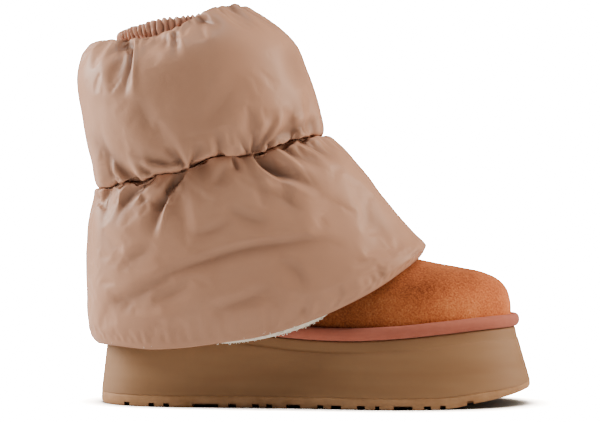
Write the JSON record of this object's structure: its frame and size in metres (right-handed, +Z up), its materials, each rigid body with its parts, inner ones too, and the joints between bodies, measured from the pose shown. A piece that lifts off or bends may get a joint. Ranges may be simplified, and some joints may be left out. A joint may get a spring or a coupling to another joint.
{
  "type": "ankle boot",
  "caption": "Puffer ankle boot: suede toe on a flared platform with toe spring, padded skirt and shaft gathered at the ankle, elastic collar.",
  "frame": {"origin": "on the floor halfway along the sole, on the middle of its heel", "axes": "+X towards the toe, +Y towards the inner side of the right foot, +Z up"},
  "size_m": [0.296, 0.1358, 0.2616],
  "materials": {
    "outsole_rubber": "matt tan rubber compound",
    "platform_foam": "matt tan moulded foam",
    "binding_textile": "coral woven binding",
    "fleece": "cream fleece",
    "suede": "chestnut suede",
    "skirt_nylon": "rose taupe padded nylon, soft sheen",
    "puffer_nylon": "rose taupe padded nylon, soft sheen",
    "collar_nylon": "rose taupe nylon ruched on elastic"
  },
  "bodies": {
    "root": {"outsole": "outsole_rubber", "midsole": "platform_foam", "binding": "binding_textile", "insole": "fleece", "upper": "suede", "skirt_puffer": "skirt_nylon", "shaft_puffer": "puffer_nylon", "collar_elastic": "collar_nylon"}
  },
  "joints": []
}
